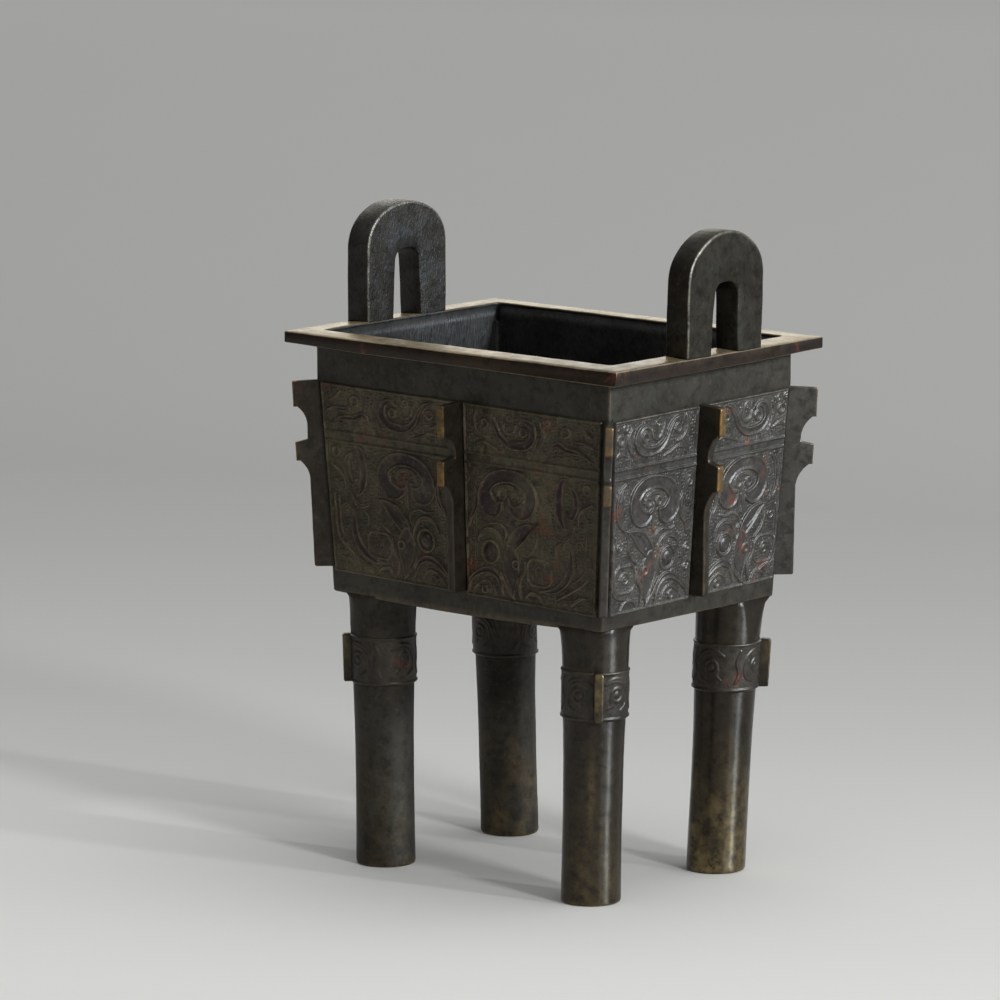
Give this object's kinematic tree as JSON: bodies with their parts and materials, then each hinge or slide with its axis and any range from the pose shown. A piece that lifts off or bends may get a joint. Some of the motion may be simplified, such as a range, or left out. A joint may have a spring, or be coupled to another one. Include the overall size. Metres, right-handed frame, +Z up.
{
  "type": "rectangular bronze ritual vessel",
  "caption": "Four-legged rectangular bronze vessel: tapered box with hooked flanges and ornament panels, flat flaring rim, upright loop ears and tall round legs with collars.",
  "frame": {"origin": "centre of the footprint, on the surface the feet stand on", "axes": "+Z up; X along the box's long side, with the ears at its two ends; -Y is the front"},
  "size_m": [0.1524, 0.1198, 0.23],
  "materials": {
    "box_bronze": "dark brown-black patinated bronze, satin, with cuprite red in the recesses",
    "rim_bronze": "dark patinated bronze, handled smooth, brassy at the edges",
    "ear_bronze": "dark patinated bronze with fine file marks",
    "flange_bronze": "dark patinated bronze, worn golden along the edges",
    "leg_bronze": "dark patinated bronze, worn to olive and brass at the feet"
  },
  "bodies": {
    "root": {"wall_front": "box_bronze", "wall_back": "box_bronze", "wall_left": "box_bronze", "wall_right": "box_bronze", "floor_plate": "box_bronze", "rim_frame": "rim_bronze", "ear_left": "ear_bronze", "ear_right": "ear_bronze", "leg_front_left": "leg_bronze", "leg_front_right": "leg_bronze", "leg_back_left": "leg_bronze", "leg_back_right": "leg_bronze", "collar_front_left": "leg_bronze", "collar_front_right": "leg_bronze", "collar_back_left": "leg_bronze", "collar_back_right": "leg_bronze", "rib_front_left": "leg_bronze", "rib_front_right": "leg_bronze", "rib_back_left": "leg_bronze", "rib_back_right": "leg_bronze", "corner_flange_front_left": "flange_bronze", "corner_flange_front_right": "flange_bronze", "corner_flange_back_left": "flange_bronze", "corner_flange_back_right": "flange_bronze", "mid_flange_front": "flange_bronze", "mid_flange_back": "flange_bronze", "mid_flange_left": "flange_bronze", "mid_flange_right": "flange_bronze"}
  },
  "joints": []
}
